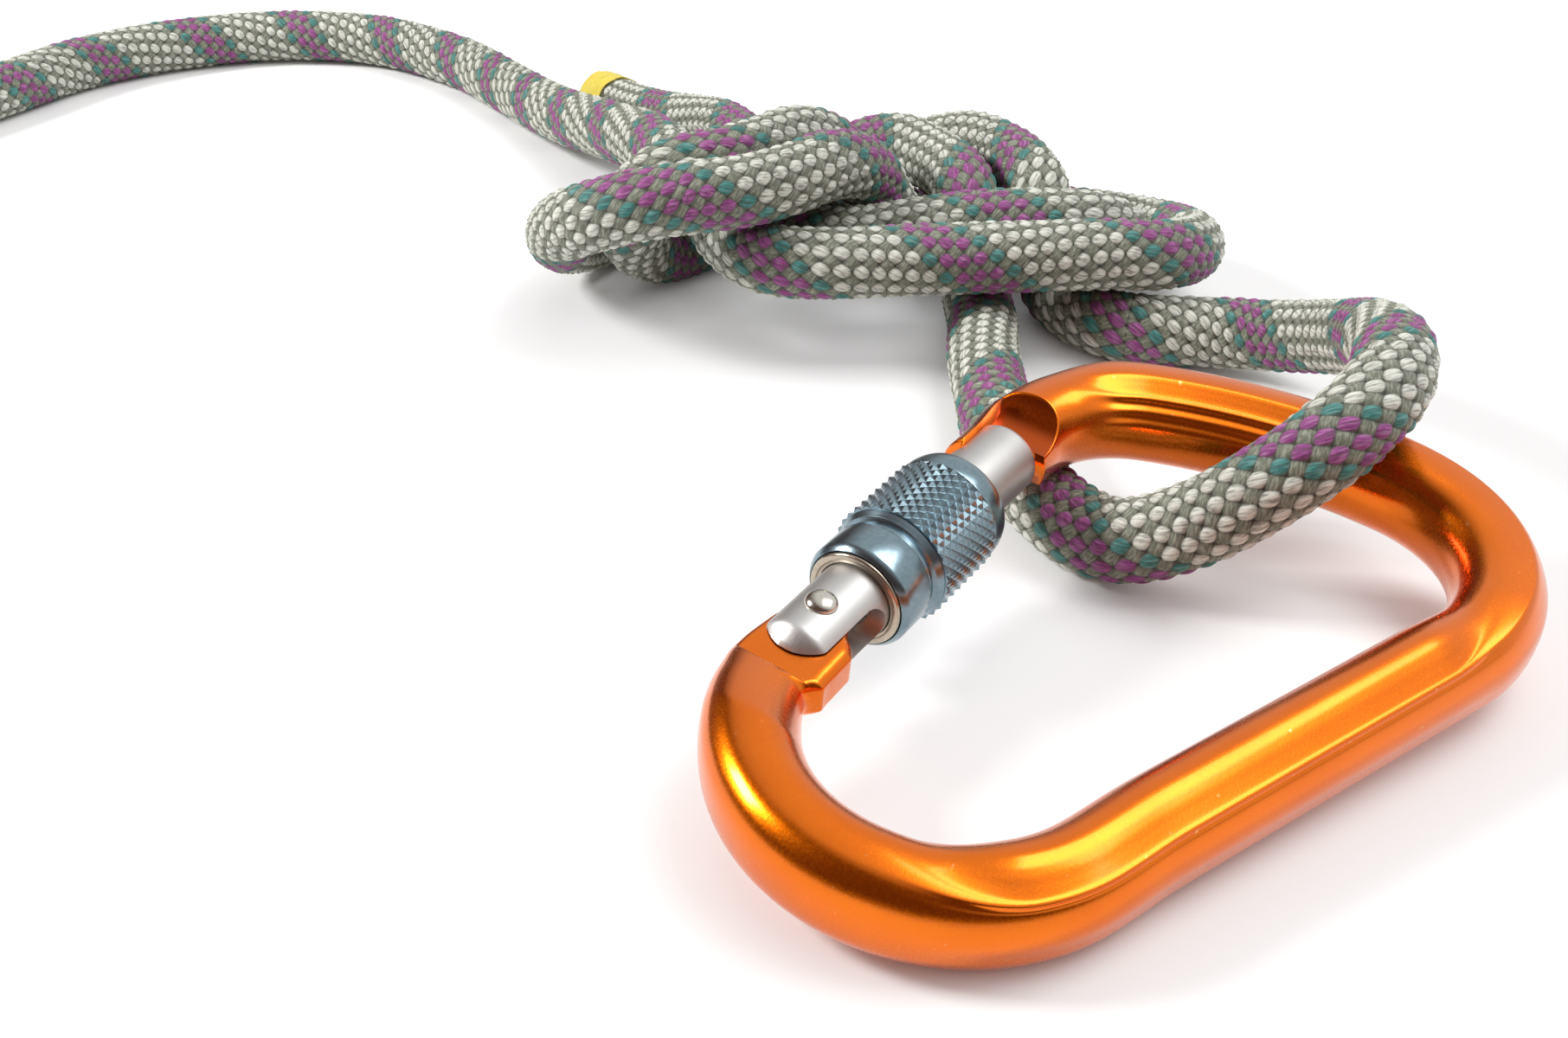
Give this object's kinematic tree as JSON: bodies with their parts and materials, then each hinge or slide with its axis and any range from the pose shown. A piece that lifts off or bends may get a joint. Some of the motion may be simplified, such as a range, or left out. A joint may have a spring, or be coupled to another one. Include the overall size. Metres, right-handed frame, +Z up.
{
  "type": "locking carabiner on a knotted rope",
  "caption": "Pear-shaped screw-lock carabiner clipped into a doubled figure-eight loop tied in braided rope, with the spare rope coiled and strapped.",
  "frame": {"origin": "middle of the floor under the carabiner's box, without the rope", "axes": "+X along the gate from hinge to nose, which is the carabiner's length; +Y from the spine to the gate; +Z up"},
  "size_m": [0.2078, 0.4676, 0.0333],
  "materials": {
    "orange_alloy": "glossy orange anodised forging",
    "plain_alloy": "satin turned aluminium",
    "blue_grey_alloy": "blue-grey anodised, knurled grip",
    "steel": "turned steel",
    "rope_sheath": "braided sheath of olive-grey, off-white, purple and teal yarns",
    "strap": "black hook-and-loop strap",
    "tape": "mustard tape"
  },
  "bodies": {
    "frame": {"carabiner_body": "orange_alloy", "hinge_rivet": "steel", "rope_loop": "rope_sheath", "rope_knot_lead": "rope_sheath", "rope_knot_tail": "rope_sheath", "rope_lead": "rope_sheath", "rope_coil": "rope_sheath", "coil_tie": "strap", "tail_wrap": "tape", "end_wrap": "tape"},
    "gate": {"gate": "plain_alloy", "gate_spring": "steel"},
    "plunger": {"spring_plunger": "steel"},
    "sleeve_carrier": {"sleeve_ring": "steel"},
    "sleeve": {"locking_sleeve": "blue_grey_alloy"}
  },
  "joints": [
    {"name": "gate_hinge", "type": "hinge", "parent": "frame", "child": "gate", "pos_m": [-0.0209, 0.0286, 0.01275], "axis": [0.082, 0.1392, -0.9869], "range_deg": [0, 25], "stiffness_Nm_per_rad": 0.4, "springref_deg": -20.05},
    {"name": "plunger_slide", "type": "slide", "parent": "gate", "child": "plunger", "axis": [0.9966, 0, 0.0828], "range_m": [0, 0.0012], "deforming": ["gate_spring"]},
    {"name": "sleeve_slide", "type": "slide", "parent": "gate", "child": "sleeve_carrier", "axis": [0.9966, 0, 0.0828], "range_m": [0, 0.009]},
    {"name": "sleeve_turn", "type": "hinge", "parent": "sleeve_carrier", "child": "sleeve", "pos_m": [-0.0209, 0.0286, 0.01275], "axis": [0.9966, 0, 0.0828], "range_deg": [0, 1080]}
  ],
  "couplings": [
    {"joint": "plunger_slide", "follows": "gate_hinge", "m_per_rad": 0.00275},
    {"joint": "sleeve_slide", "follows": "sleeve_turn", "m_per_rad": 0.000477}
  ]
}
